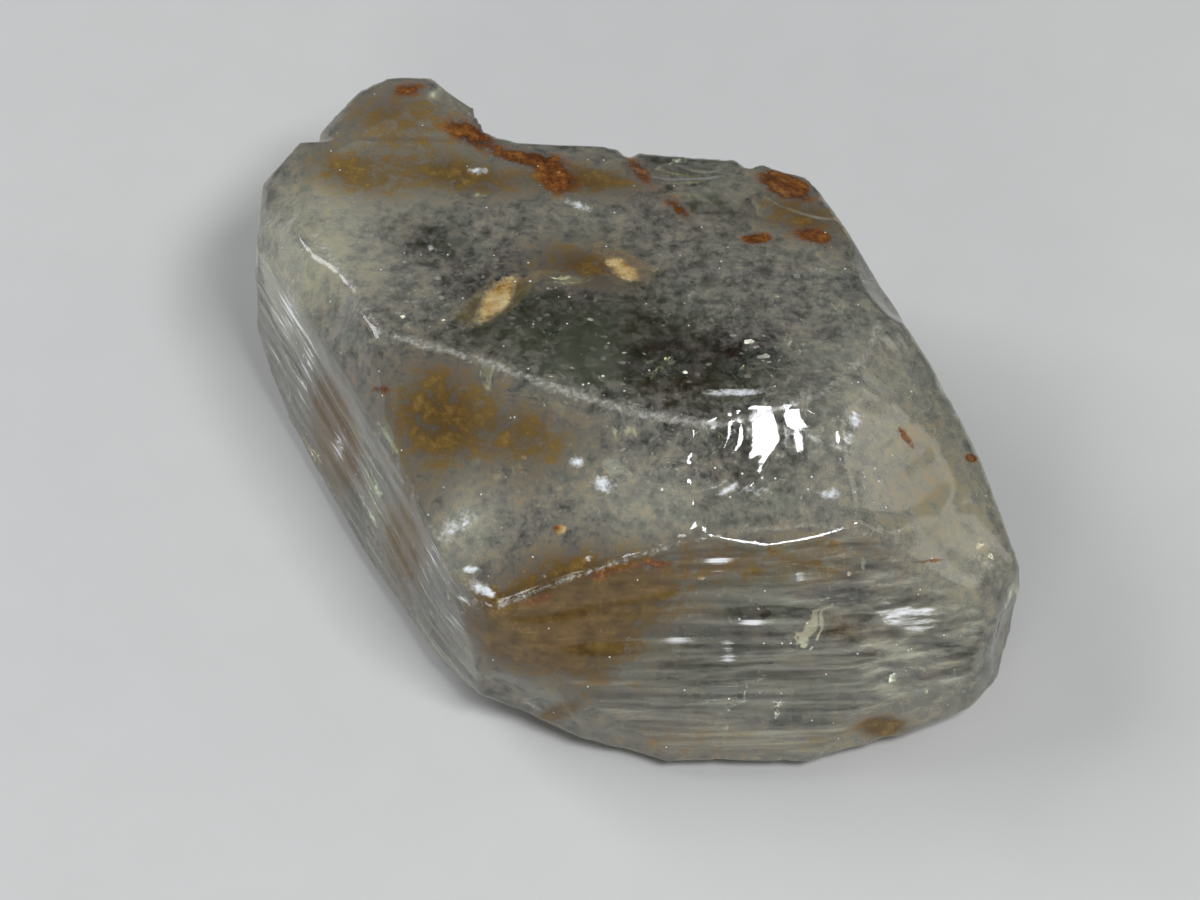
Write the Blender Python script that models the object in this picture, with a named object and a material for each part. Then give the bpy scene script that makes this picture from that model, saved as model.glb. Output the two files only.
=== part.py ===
# Goshenite crystal: a broken, etched chunk of colourless beryl, one solid resting on a flat spot.
# Modelled in millimetres and turned to metres at the end. X runs to the right, Y to the back, Z up.
import math
import random

import bmesh
import bpy
from mathutils import Matrix, Vector
from mathutils.bvhtree import BVHTree

METRES_PER_MM = 0.001
NODE_NAME = "goshenite_crystal"

# Corners of the crystal where its faces meet, as (x, y, z) in mm above the ground

UPPER_RIM = {
    "rim_west": (-14.8, 8.6, 8.2),
    "rim_north_west": (-13.4, 10.0, 9.1),
    "rim_knob_root": (-8.4, 9.6, 9.7),
    "rim_north": (-2.6, 9.0, 9.9),
    "rim_notch": (-0.2, 8.8, 10.0),
    "rim_north_east": (2.1, 9.0, 9.8),
    "rim_east_step": (4.4, 8.4, 9.7),
    "rim_east_horn": (6.7, 7.9, 9.6),
    "rim_east": (8.1, 4.6, 9.9),
    "rim_east_low": (10.1, -0.5, 10.2),
}
RIDGE = {
    "shoulder_west": (-13.3, 4.2, 10.1),
    "ridge_west": (-9.9, -2.0, 11.4),
    "ridge_mid": (-4.0, -4.5, 11.8),
    "ridge_peak": (1.5, -6.8, 12.1),
    "ridge_east": (5.9, -6.1, 11.9),
    "ridge_end": (8.4, -4.7, 11.4),
}
FRONT_CREASE = {
    "crease_west": (-5.6, -12.3, 7.8),
    "crease_mid": (2.9, -10.8, 10.4),
    "crease_east": (8.1, -9.9, 10.2),
    "right_high": (11.5, -2.4, 9.0),
    "right_upper": (13.0, -5.3, 7.6),
    "right_corner": (14.3, -8.8, 6.0),
    "right_crease": (13.3, -10.9, 5.4),
    "left_top": (-14.9, 5.4, 8.4),
    "left_mid": (-11.3, -2.2, 9.3),
    "left_low": (-9.0, -6.9, 9.0),
    "left_foot": (-7.0, -11.0, 8.1),
}
LOWER_GIRDLE = {
    "low_west": (-1.4, -13.7, 2.9),
    "low_mid": (3.0, -13.9, 2.9),
    "low_east": (8.3, -13.5, 3.2),
    "low_corner": (12.7, -12.2, 3.5),
    "right_outer": (14.5, -8.8, 4.2),
    "right_outer_low": (14.3, -9.4, 2.4),
    "foot_west": (-5.8, -12.5, 2.2),
    "foot_south_west": (-2.0, -13.6, 1.0),
    "foot_south": (0.4, -14.3, 0.7),
    "foot_south_east": (6.3, -14.3, 0.7),
    "foot_east": (10.1, -13.2, 0.9),
    "foot_corner": (12.6, -12.1, 1.1),
    "foot_right": (13.7, -10.9, 1.5),
    "left_belt_back": (-15.4, 4.8, 4.5),
    "left_belt": (-15.4, 4.2, 3.0),
    "left_sole_a": (-14.3, 2.0, 1.6),
    "left_sole_b": (-12.7, -0.8, 1.0),
    "left_sole_c": (-11.0, -3.7, 0.8),
    "left_sole_d": (-7.6, -9.9, 1.2),
    "left_sole_e": (-6.7, -11.2, 1.6),
    "back_belt_west": (-14.6, 9.0, 4.0),
    "back_belt_north_west": (-11.0, 12.0, 4.4),
    "back_belt_north": (-2.0, 11.2, 5.2),
    "back_belt_north_east": (5.6, 10.0, 4.6),
    "back_belt_east": (9.9, 4.4, 5.0),
    "right_belt": (12.4, -1.6, 4.2),
}
RESTING_FACE = {
    "sole_south_west": (-2.6, -11.4, 0.0),
    "sole_south": (1.4, -12.9, 0.0),
    "sole_south_east": (6.0, -12.8, 0.0),
    "sole_east": (11.4, -10.6, 0.0),
    "sole_right": (11.6, -5.0, 0.0),
    "sole_north_east": (7.4, 4.6, 0.0),
    "sole_north": (-0.8, 7.6, 0.0),
    "sole_north_west": (-10.2, 7.6, 0.0),
    "sole_west": (-12.6, 3.4, 0.0),
    "sole_left": (-7.6, -6.4, 0.0),
}
KNOB = {
    "knob_left": (-11.7, 12.3, 8.4),
    "knob_left_top": (-11.2, 13.1, 8.7),
    "knob_top_left": (-10.4, 13.4, 9.0),
    "knob_top": (-9.6, 13.5, 9.2),
    "knob_top_right": (-8.2, 13.5, 9.2),
    "knob_right_top": (-7.5, 13.0, 9.2),
    "knob_right": (-7.0, 12.1, 9.3),
    "knob_shelf": (-6.1, 10.6, 9.5),
    "knob_end": (-4.8, 9.5, 9.6),
    "knob_crown_left": (-10.2, 11.4, 9.5),
    "knob_crown_right": (-8.6, 11.6, 9.55),
    "knob_shoulder": (-12.7, 11.1, 8.5),
    "knob_shoulder_right": (-11.9, 11.9, 8.6),
    "knob_saddle_left": (-12.6, 8.4, 9.3),
    "knob_saddle_front": (-9.6, 6.0, 9.95),
    "knob_saddle_right": (-6.4, 7.6, 9.8),
    "knob_root_left": (-11.4, 11.6, 4.6),
    "knob_root_mid": (-9.0, 13.4, 5.4),
    "knob_root_right": (-6.0, 12.0, 5.0),
    "knob_core_left": (-10.0, 7.0, 5.0),
    "knob_core_right": (-6.0, 7.0, 5.0),
}
CORNERS = {**UPPER_RIM, **RIDGE, **FRONT_CREASE, **LOWER_GIRDLE, **RESTING_FACE}

# The large faces are flat: each is the plane through three of those corners
FLAT_FACES = {
    "window face": ("ridge_west", "ridge_peak", "rim_north_east"),
    "roof face": ("ridge_west", "ridge_peak", "crease_west"),
    "striated prism face": ("crease_west", "crease_mid", "low_mid"),
    "left prism face": ("left_mid", "left_foot", "left_sole_c"),
}
FLAT_FACE_EASE = 0.05

# Worn edges: creases sharper than this are bruised to a narrow flat
WORN_EDGE_ANGLE = math.radians(14)
WORN_EDGE_WIDTH = 0.24

# Conchoidal flake scars: near which point, the way out of the stone there, radius and depth in mm,
# the bearing in degrees of the point that was struck, which its ripples ring, and how many ripples
FLAKE_SCARS = (
    # the broad scoop under the peak and its neighbours on the right
    ((5.0, -8.2, 11.2), (0.15, -0.55, 0.82), 3.7, 0.62, 165, 8),
    ((9.6, -6.6, 9.9), (0.45, -0.45, 0.77), 3.0, 0.36, 120, 6),
    ((11.0, -8.6, 7.6), (0.45, -0.6, 0.66), 2.6, 0.26, 40, 5),
    # flakes struck off the upper rim
    ((1.9, 8.7, 10.0), (0.0, 0.5, 0.86), 2.6, 0.5, 90, 4),
    ((6.4, 6.8, 9.8), (0.3, 0.35, 0.88), 2.3, 0.42, 60, 4),
    ((9.3, 2.0, 10.0), (0.5, 0.1, 0.86), 2.1, 0.36, 10, 4),
    ((6.6, -1.9, 11.2), (0.05, 0.12, 0.99), 2.5, 0.17, -20, 5),
    ((9.6, -2.6, 10.7), (0.4, -0.05, 0.91), 2.2, 0.3, 80, 4),
    # shoulder beside the knob, the knob and the left edge
    ((-13.2, 7.2, 9.0), (-0.4, 0.15, 0.9), 2.4, 0.3, 150, 4),
    ((-7.6, 12.6, 8.6), (0.6, 0.6, 0.5), 1.3, 0.16, 100, 3),
    ((-12.4, 0.9, 10.0), (-0.55, -0.35, 0.76), 2.0, 0.22, -60, 4),
    # lower corners in front
    ((-3.9, -13.2, 2.3), (-0.45, -0.85, -0.2), 2.3, 0.36, 200, 4),
    ((-0.9, -13.9, 1.6), (-0.1, -0.9, -0.3), 1.7, 0.26, 250, 3),
    ((14.0, -10.0, 3.4), (0.9, -0.4, 0.0), 1.7, 0.26, 30, 3),
    # back and sides, where the crystal broke from its pocket
    ((-2.0, 10.4, 6.8), (0.05, 0.97, 0.15), 4.2, 0.8, 100, 7),
    ((8.6, 7.0, 5.6), (0.75, 0.64, -0.05), 3.6, 0.7, 60, 6),
    ((12.6, -2.6, 5.6), (0.92, 0.3, 0.1), 2.9, 0.45, 140, 5),
    ((-15.0, 6.6, 5.4), (-0.95, 0.25, 0.0), 2.4, 0.36, 20, 4),
    ((-13.6, 9.8, 5.6), (-0.7, 0.7, 0.0), 2.0, 0.3, 70, 4),
)
SCAR_FAN = math.radians(196)
SCAR_FAN_STEPS = 18
# How far past its radius a bowl is drawn, and how much wider than long it is
SCAR_REACH = 2.3
SCAR_WIDENING = 1.15
SCAR_RINGS_BEYOND = 2
SCAR_HEADROOM = 1.0
SCAR_TOP = 1.5
SCAR_RIPPLE = 0.03
SCAR_FLARE = 6.0

# Growth ledges: long thin wedges shaved off a face, each leaving one low step along its lower side
# that runs out at both ends. Given as the ends of that step, the way out of the face, and how wide
# and how deep the wedge is in mm.
GROWTH_LEDGES = (
    # lengthwise on the striated prism face in front
    ((-3.4, -13.6, 2.8), (11.6, -12.6, 3.1), (0.1, -0.95, 0.3), 0.7, 0.14),
    ((-4.4, -13.0, 4.0), (9.6, -13.0, 4.1), (0.1, -0.95, 0.3), 0.9, 0.14),
    ((0.0, -13.0, 5.2), (12.6, -11.4, 4.4), (0.15, -0.93, 0.33), 0.9, 0.12),
    ((-5.0, -12.6, 5.4), (4.4, -12.9, 6.0), (0.1, -0.95, 0.3), 0.9, 0.13),
    ((0.6, -12.4, 7.0), (11.2, -11.2, 6.4), (0.15, -0.93, 0.33), 0.9, 0.11),
    ((-4.6, -12.2, 6.8), (4.6, -11.7, 8.4), (0.1, -0.95, 0.3), 0.8, 0.1),
    ((2.2, -11.6, 8.9), (9.6, -10.6, 8.0), (0.15, -0.93, 0.33), 0.7, 0.1),
    # lengthwise on the left prism face
    ((-15.2, 4.4, 6.9), (-7.0, -10.8, 5.2), (-0.86, -0.5, 0.05), 0.9, 0.18),
    ((-15.2, 3.8, 5.2), (-7.4, -10.2, 3.8), (-0.86, -0.5, 0.05), 1.1, 0.18),
    ((-14.4, 3.2, 7.7), (-7.6, -9.4, 6.9), (-0.86, -0.5, 0.1), 0.7, 0.14),
    ((-13.6, 0.8, 3.2), (-7.6, -10.0, 2.6), (-0.86, -0.5, 0.0), 0.8, 0.14),
    ((-11.0, -3.4, 8.5), (-7.6, -9.8, 8.1), (-0.86, -0.5, 0.1), 0.4, 0.08),
    # on the window face
    ((-12.6, 5.4, 10.1), (-5.4, 3.4, 10.6), (0.0, 0.14, 0.99), 1.4, 0.1),
    ((0.6, 6.2, 10.2), (8.0, 3.6, 10.5), (0.0, 0.14, 0.99), 1.3, 0.11),
    # on the right flank
    ((9.6, -9.6, 8.6), (13.6, -6.4, 6.9), (0.55, -0.35, 0.75), 0.9, 0.12),
    ((10.2, -10.6, 7.2), (14.0, -8.6, 5.8), (0.45, -0.55, 0.7), 0.8, 0.1),
    ((10.2, 3.8, 6.6), (13.6, -5.6, 6.2), (0.93, 0.35, 0.1), 1.4, 0.2),
    ((9.4, 5.0, 4.0), (13.2, -3.6, 3.2), (0.93, 0.35, -0.1), 1.0, 0.16),
    # on the back
    ((-2.6, 10.6, 7.4), (7.4, 9.0, 7.2), (0.12, 0.98, 0.1), 1.3, 0.2),
    ((-1.6, 10.8, 3.4), (6.4, 9.6, 3.0), (0.12, 0.98, -0.2), 1.2, 0.18),
    ((-12.2, 10.9, 6.8), (-15.0, 6.8, 6.2), (-0.75, 0.65, 0.0), 1.1, 0.16),
)
LEDGE_HEADROOM = 0.6
LEDGE_PARTS = 10
# How full a step stays towards its ends, how far above the face it ends, and how short its top side is
LEDGE_FULLNESS = 0.6
LEDGE_RUN_OUT = -0.3
LEDGE_TAPER = 0.9

# Small six-sided etch pits beside the main ridge: near which point, and radius in mm
ETCH_PITS = (
    ((-7.4, -1.6, 11.3), 0.2),
    ((-5.6, -2.0, 11.3), 0.15),
    ((-3.2, -3.2, 11.5), 0.24),
    ((-1.4, -3.4, 11.5), 0.16),
    ((0.4, -4.8, 11.8), 0.22),
    ((-6.4, 0.2, 11.1), 0.14),
    ((-0.6, -1.2, 11.2), 0.15),
)
PIT_SLOPE = 0.34
PIT_TURN = math.radians(17)
PIT_HEADROOM = 0.3

# Small chips knocked out of the sharp edges, strewn between pairs of corners
CHIPPED_EDGES = (
    ("ridge_west", "ridge_mid", 7),
    ("ridge_mid", "ridge_peak", 8),
    ("crease_west", "crease_mid", 9),
    ("crease_mid", "crease_east", 4),
    ("left_top", "left_mid", 6),
    ("left_mid", "left_low", 4),
    ("left_low", "left_foot", 3),
    ("shoulder_west", "ridge_west", 4),
    ("rim_north", "rim_north_east", 4),
    ("rim_north_east", "rim_east_horn", 4),
    ("rim_east_horn", "rim_east", 3),
    ("rim_east", "rim_east_low", 4),
    ("right_high", "right_upper", 4),
    ("right_upper", "right_corner", 4),
    ("right_corner", "right_crease", 2),
    ("foot_south", "foot_south_east", 4),
    ("foot_south_east", "foot_east", 3),
    ("rim_west", "rim_north_west", 2),
)
CHIP_RADIUS = (0.16, 0.42)
CHIP_STANDS_OUT = 0.55
CHIP_PLACE = (0.2, 0.8)
CHIP_STRETCH = ((0.8, 1.7), (0.8, 1.7), (0.7, 1.1))
CHIP_SEED = 11

# V notches in the upper rim: near which point, the way out, width and depth in mm
RIM_NOTCHES = (
    ((-0.3, 9.2, 9.8), (0.05, 0.8, 0.6), 0.8, 0.55),
    ((4.5, 8.8, 9.7), (0.15, 0.8, 0.6), 0.7, 0.45),
)
NOTCH_LENGTH = 2.2

# How far from the stone a line of sight starts when it looks for the surface
SIGHT_START = 12.0
SHORTEST_EDGE = 0.02
FLAT_WITHIN = math.radians(0.4)


def clear_scene():
    for thing in list(bpy.data.objects):
        bpy.data.objects.remove(thing)


def new_object(name, shape):
    """Turns a bmesh into an object of the scene."""
    mesh = bpy.data.meshes.new(name)
    shape.to_mesh(mesh)
    shape.free()
    made = bpy.data.objects.new(name, mesh)
    bpy.context.scene.collection.objects.link(made)
    return made


def hull_of(points):
    """The smallest convex solid that holds the points."""
    shape = bmesh.new()
    for point in points:
        shape.verts.new(point)
    made = bmesh.ops.convex_hull(shape, input=shape.verts)
    inner = made["geom_interior"] + made["geom_unused"]
    spare = {item for item in inner if isinstance(item, bmesh.types.BMVert)}
    bmesh.ops.delete(shape, geom=list(spare), context="VERTS")
    return shape


def slice_flat(shape, corners):
    """Cuts the solid flat along the plane through three of its corners, keeping the inside."""
    first, second, third = (Vector(CORNERS[name]) for name in corners)
    out = (second - first).cross(third - first).normalized()
    middle = sum((vert.co for vert in shape.verts), Vector()) / len(shape.verts)
    if out.dot(middle - first) > 0:
        out = -out
    geometry = shape.verts[:] + shape.edges[:] + shape.faces[:]
    bmesh.ops.bisect_plane(
        shape, geom=geometry, plane_co=first - out * FLAT_FACE_EASE, plane_no=out, clear_outer=True
    )
    open_edges = [edge for edge in shape.edges if edge.is_boundary]
    if open_edges:
        bmesh.ops.contextual_create(shape, geom=open_edges)


def wear_edges(shape):
    """Bruises the sharp creases to narrow flats."""
    bmesh.ops.dissolve_limit(
        shape, angle_limit=FLAT_WITHIN, verts=shape.verts, edges=shape.edges, use_dissolve_boundaries=False
    )
    sharp = [
        edge for edge in shape.edges
        if edge.calc_face_angle(0.0) > WORN_EDGE_ANGLE and min(v.co.z for v in edge.verts) > SHORTEST_EDGE
    ]
    bmesh.ops.bevel(
        shape, geom=sharp, offset=WORN_EDGE_WIDTH, affect="EDGES", segments=1, profile=0.5, material=-1,
        clamp_overlap=True,
    )


def crystal_body():
    """The main chunk, flat on its large faces."""
    shape = hull_of(CORNERS.values())
    for corners in FLAT_FACES.values():
        slice_flat(shape, corners)
    wear_edges(shape)
    bmesh.ops.recalc_face_normals(shape, faces=shape.faces)
    return new_object(NODE_NAME, shape)


def knob():
    """The lump that stands out at the back on the left, grown in one with the chunk."""
    shape = hull_of(KNOB.values())
    bmesh.ops.recalc_face_normals(shape, faces=shape.faces)
    return new_object("knob", shape)


def facing(at, out, along):
    """The matrix that sets a shape's own Z along out, and its X as near to along as that leaves."""
    up = Vector(out).normalized()
    side = Vector(along) - up * up.dot(Vector(along))
    side.normalize()
    turn = Matrix((side, up.cross(side), up)).transposed().to_4x4()
    return Matrix.Translation(Vector(at)) @ turn


def surface_of(body):
    """A tree that answers where a line meets the body."""
    shape = bmesh.new()
    shape.from_mesh(body.data)
    tree = BVHTree.FromBMesh(shape)
    shape.free()
    return tree


def surface_at(tree, near, out):
    """The point of the surface that is met on the way in from outside, and the way out of it there."""
    out = Vector(out).normalized()
    spot, normal, _, _ = tree.ray_cast(Vector(near) + out * SIGHT_START, -out)
    return spot, normal


def flake_scar(tree, near, out, radius, depth, struck, waves):
    """A shallow bowl whose ripples ring the point that was struck, on its brim."""
    shape = bmesh.new()
    reach = SCAR_REACH * radius
    rings = waves + SCAR_RINGS_BEYOND
    spokes = [shape.verts.new((reach * step / rings, 0.0, 0.0)) for step in range(rings + 1)]
    edges = [shape.edges.new(pair) for pair in zip(spokes, spokes[1:])]
    bmesh.ops.rotate(shape, matrix=Matrix.Rotation(-SCAR_FAN / 2, 3, "Z"), verts=shape.verts)
    bmesh.ops.spin(
        shape, geom=edges, cent=(0.0, 0.0, 0.0), axis=(0.0, 0.0, 1.0), angle=SCAR_FAN, steps=SCAR_FAN_STEPS
    )
    bmesh.ops.remove_doubles(shape, verts=shape.verts, dist=SHORTEST_EDGE)
    for vert in shape.verts:
        wave = round(vert.co.length / reach * rings)
        from_middle = math.hypot(vert.co.x - radius, vert.co.y / SCAR_WIDENING) / radius
        bowl = depth * (from_middle ** 2 - 1.0) * (1.0 + max(0.0, from_middle - 1.0) * SCAR_FLARE)
        vert.co.z = bowl + (SCAR_RIPPLE if wave % 2 else -SCAR_RIPPLE) * min(1.0, wave / 2)
    beyond = [vert for vert in shape.verts if vert.co.z > SCAR_HEADROOM]
    bmesh.ops.delete(shape, geom=beyond, context="VERTS")
    top = bmesh.ops.extrude_face_region(shape, geom=shape.faces[:])
    for vert in top["geom"]:
        if isinstance(vert, bmesh.types.BMVert):
            vert.co.z = SCAR_TOP
    bmesh.ops.translate(shape, vec=(-radius, 0.0, 0.0), verts=shape.verts)
    bmesh.ops.rotate(shape, matrix=Matrix.Rotation(math.radians(struck) + math.pi, 3, "Z"), verts=shape.verts)
    bmesh.ops.recalc_face_normals(shape, faces=shape.faces)
    spot, normal = surface_at(tree, near, out)
    across = (1.0, 0.0, 0.0) if abs(normal.x) < 0.9 else (0.0, 1.0, 0.0)
    lean = (normal + Vector(out).normalized()).normalized()
    bmesh.ops.transform(shape, matrix=facing(spot, lean, across), verts=shape.verts)
    return new_object("flake_scar", shape)


def growth_ledge(tree, start, end, out, width, depth):
    """A long slab that shaves a face down to one low step, deepest midway and running out at its ends."""
    first, _ = surface_at(tree, start, out)
    last, _ = surface_at(tree, end, out)
    middle, normal = surface_at(tree, (first + last) / 2, out)
    length = (last - first).length
    shape = bmesh.new()
    bmesh.ops.create_grid(shape, x_segments=LEDGE_PARTS, y_segments=1, size=0.5)
    for vert in shape.verts:
        at_end = abs(vert.co.x) > 0.499
        run_out = LEDGE_RUN_OUT if at_end else math.sin(math.pi * (vert.co.x + 0.5)) ** LEDGE_FULLNESS
        if vert.co.y < 0:
            vert.co = Vector((vert.co.x * length, 0.0, -depth * run_out))
        else:
            rise = depth * LEDGE_HEADROOM / width
            vert.co = Vector((vert.co.x * length * LEDGE_TAPER, width + LEDGE_HEADROOM, rise))
    top = bmesh.ops.extrude_face_region(shape, geom=shape.faces[:])
    for vert in top["geom"]:
        if isinstance(vert, bmesh.types.BMVert):
            vert.co.z = LEDGE_HEADROOM
    bmesh.ops.recalc_face_normals(shape, faces=shape.faces)
    bmesh.ops.transform(shape, matrix=facing(middle, normal, last - first), verts=shape.verts)
    return new_object("growth_ledge", shape)


def etch_pit(tree, near, radius):
    """A shallow six-sided pit, point down."""
    shape = bmesh.new()
    height = radius * PIT_SLOPE + PIT_HEADROOM
    bmesh.ops.create_cone(
        shape, cap_ends=True, segments=6, radius1=0.0, radius2=height / PIT_SLOPE, depth=height
    )
    bmesh.ops.translate(shape, vec=(0.0, 0.0, height / 2 - radius * PIT_SLOPE), verts=shape.verts)
    bmesh.ops.rotate(shape, matrix=Matrix.Rotation(PIT_TURN, 3, "Z"), verts=shape.verts)
    bmesh.ops.remove_doubles(shape, verts=shape.verts, dist=SHORTEST_EDGE / 4)
    bmesh.ops.recalc_face_normals(shape, faces=shape.faces)
    spot, normal = surface_at(tree, near, (0.0, 0.0, 1.0))
    bmesh.ops.transform(shape, matrix=facing(spot, normal, (1.0, 0.0, 0.0)), verts=shape.verts)
    return new_object("etch_pit", shape)


def rim_notch(tree, near, out, width, depth):
    """A three-sided bar laid over the rim with one edge pointing into the stone."""
    spot, _ = surface_at(tree, near, out)
    shape = bmesh.new()
    bmesh.ops.create_cone(
        shape, cap_ends=True, segments=3, radius1=depth, radius2=depth, depth=NOTCH_LENGTH
    )
    # the first corner of the bar lies on its own Y, so that way is turned inwards
    bmesh.ops.scale(shape, vec=(width / depth, 1.0, 1.0), verts=shape.verts)
    bmesh.ops.rotate(shape, matrix=Matrix.Rotation(math.radians(90), 3, "X"), verts=shape.verts)
    bmesh.ops.rotate(shape, matrix=Matrix.Rotation(math.radians(180), 3, "Y"), verts=shape.verts)
    bmesh.ops.recalc_face_normals(shape, faces=shape.faces)
    bmesh.ops.transform(shape, matrix=facing(spot, out, (1.0, 0.0, 0.0)), verts=shape.verts)
    return new_object("rim_notch", shape)


def edge_chips(tree):
    """Small rough bites out of the edges between pairs of corners."""
    dice = random.Random(CHIP_SEED)
    chips = []
    for start, end, count in CHIPPED_EDGES:
        first, last = Vector(CORNERS[start]), Vector(CORNERS[end])
        for place in range(count):
            share = (place + dice.uniform(*CHIP_PLACE)) / count
            radius = dice.uniform(*CHIP_RADIUS)
            spot, normal, _, _ = tree.find_nearest(first.lerp(last, share))
            shape = bmesh.new()
            bmesh.ops.create_icosphere(shape, subdivisions=1, radius=radius)
            stretch = [dice.uniform(*limits) for limits in CHIP_STRETCH]
            bmesh.ops.scale(shape, vec=stretch, verts=shape.verts)
            angle = dice.uniform(0, math.tau)
            turn = Matrix.Rotation(angle, 3, Vector((dice.random(), dice.random(), 1.0)))
            bmesh.ops.rotate(shape, matrix=turn, verts=shape.verts)
            bmesh.ops.translate(shape, vec=spot + normal * radius * CHIP_STANDS_OUT, verts=shape.verts)
            chips.append(new_object("edge_chip", shape))
    return chips


def combine(body, other, operation):
    """Joins another solid to the body, or cuts it away, and removes the other."""
    change = body.modifiers.new(operation.lower(), "BOOLEAN")
    change.operation = operation
    change.solver = "EXACT"
    change.object = other
    graph = bpy.context.evaluated_depsgraph_get()
    result = bpy.data.meshes.new_from_object(body.evaluated_get(graph))
    body.modifiers.clear()
    body.data = result
    bpy.data.objects.remove(other)


def tidy_mesh(body):
    """Merges points that the cuts left too close together, then leaves only triangles."""
    shape = bmesh.new()
    shape.from_mesh(body.data)
    bmesh.ops.remove_doubles(shape, verts=shape.verts, dist=SHORTEST_EDGE)
    bmesh.ops.dissolve_degenerate(shape, edges=shape.edges, dist=SHORTEST_EDGE / 4)
    bmesh.ops.dissolve_limit(
        shape, angle_limit=FLAT_WITHIN, verts=shape.verts, edges=shape.edges, use_dissolve_boundaries=False
    )
    bmesh.ops.triangulate(shape, faces=shape.faces)
    shape.to_mesh(body.data)
    shape.free()


def stand_on_origin(body):
    """Moves the middle of the base to the origin and turns millimetres to metres."""
    spots = [vert.co for vert in body.data.vertices]
    low = Vector([min(spot[axis] for spot in spots) for axis in range(3)])
    high = Vector([max(spot[axis] for spot in spots) for axis in range(3)])
    shift = Vector((-(low.x + high.x) / 2, -(low.y + high.y) / 2, -low.z))
    body.data.transform(Matrix.Scale(METRES_PER_MM, 4) @ Matrix.Translation(shift))
    print("moved by", [round(value, 3) for value in shift], "mm; size", [round(v, 2) for v in high - low])


def beryl():
    """Clear colourless beryl, a little warm."""
    material = bpy.data.materials.new("goshenite")
    material.use_nodes = True
    shader = material.node_tree.nodes["Principled BSDF"]
    shader.inputs["Base Color"].default_value = (0.86, 0.85, 0.8, 1.0)
    shader.inputs["Roughness"].default_value = 0.12
    shader.inputs["Metallic"].default_value = 0.0
    shader.inputs["IOR"].default_value = 1.58
    shader.inputs["Transmission Weight"].default_value = 0.9
    return material


def main():
    clear_scene()
    body = crystal_body()
    combine(body, knob(), "UNION")
    tree = surface_of(body)
    cutters = [growth_ledge(tree, *ledge) for ledge in GROWTH_LEDGES]
    cutters += [flake_scar(tree, *scar) for scar in FLAKE_SCARS]
    cutters += [etch_pit(tree, near, radius) for near, radius in ETCH_PITS]
    cutters += [rim_notch(tree, *notch) for notch in RIM_NOTCHES]
    cutters += edge_chips(tree)
    for cutter in cutters:
        combine(body, cutter, "DIFFERENCE")
    tidy_mesh(body)
    stand_on_origin(body)
    body.data.materials.clear()
    body.data.materials.append(beryl())


main()
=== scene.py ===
import math
import random

import bmesh
import bpy
import numpy as np
from mathutils import Matrix, Vector, noise
from mathutils.bvhtree import BVHTree
from mathutils.kdtree import KDTree


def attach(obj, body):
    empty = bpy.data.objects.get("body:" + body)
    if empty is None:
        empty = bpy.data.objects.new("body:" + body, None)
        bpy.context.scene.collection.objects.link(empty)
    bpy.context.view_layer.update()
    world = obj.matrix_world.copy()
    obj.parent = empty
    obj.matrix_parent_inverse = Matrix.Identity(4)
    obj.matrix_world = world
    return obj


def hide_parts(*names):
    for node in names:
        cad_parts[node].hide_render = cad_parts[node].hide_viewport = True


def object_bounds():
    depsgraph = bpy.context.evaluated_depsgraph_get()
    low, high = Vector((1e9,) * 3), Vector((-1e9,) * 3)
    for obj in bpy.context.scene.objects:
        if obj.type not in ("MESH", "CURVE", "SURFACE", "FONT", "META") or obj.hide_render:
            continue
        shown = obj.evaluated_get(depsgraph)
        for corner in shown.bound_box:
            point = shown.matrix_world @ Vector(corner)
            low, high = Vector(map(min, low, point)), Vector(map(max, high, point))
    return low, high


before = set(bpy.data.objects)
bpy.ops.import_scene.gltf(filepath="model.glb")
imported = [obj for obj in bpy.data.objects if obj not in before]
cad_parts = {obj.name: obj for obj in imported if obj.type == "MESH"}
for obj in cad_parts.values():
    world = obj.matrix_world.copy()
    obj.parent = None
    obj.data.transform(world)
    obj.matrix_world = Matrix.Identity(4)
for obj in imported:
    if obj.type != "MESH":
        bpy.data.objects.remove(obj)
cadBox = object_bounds()
mm = 0.001
print("frame loaded")


# Small helpers that every piece uses

def hexColour(text):
    # sRGB hex such as d9b27c, turned linear
    values = [int(text[i:i + 2], 16) / 255 for i in (0, 2, 4)]
    linear = [v / 12.92 if v <= 0.04045 else ((v + 0.055) / 1.055) ** 2.4 for v in values]
    return (*linear, 1.0)


def addNode(tree, kind, settings=None, links=None):
    # one node: settings are properties or sockets by name or number, links lead from nodes or their sockets
    node = tree.nodes.new(kind)
    for key, value in (settings or {}).items():
        if key == "stops":
            band = node.color_ramp
            while len(band.elements) < len(value):
                band.elements.new(0.5)
            for element, (place, colour) in zip(band.elements, value):
                element.position = place
                element.color = hexColour(colour)
        elif isinstance(key, int) or key in node.inputs:
            node.inputs[key].default_value = value
        else:
            setattr(node, key, value)
    for key, source in (links or {}).items():
        tree.links.new(getattr(source, "outputs", [source])[0], node.inputs[key])
    return node


def newMaterial(name):
    # a material with nothing in it but its shader and its output
    material = bpy.data.materials.new(name)
    material.use_nodes = True
    material.node_tree.nodes.clear()
    tree = material.node_tree
    shader = addNode(tree, "ShaderNodeBsdfPrincipled")
    output = addNode(tree, "ShaderNodeOutputMaterial", links={"Surface": shader.outputs[0]})
    return material, tree, shader, output


def newPiece(name, shape, material, smooth=True):
    # a finished bmesh, in metres and in place, as a piece of the scene
    mesh = bpy.data.meshes.new(name)
    shape.to_mesh(mesh)
    shape.free()
    dressPiece(name, mesh, material, smooth)


def dressPiece(name, mesh, material, smooth=True):
    # a mesh with its material, as a piece that rides with the stone
    piece = bpy.data.objects.new(name, mesh)
    bpy.context.scene.collection.objects.link(piece)
    mesh.materials.clear()
    mesh.materials.append(material)
    mesh.polygons.foreach_set("use_smooth", [smooth] * len(mesh.polygons))
    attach(piece, "root")
    return piece


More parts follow.
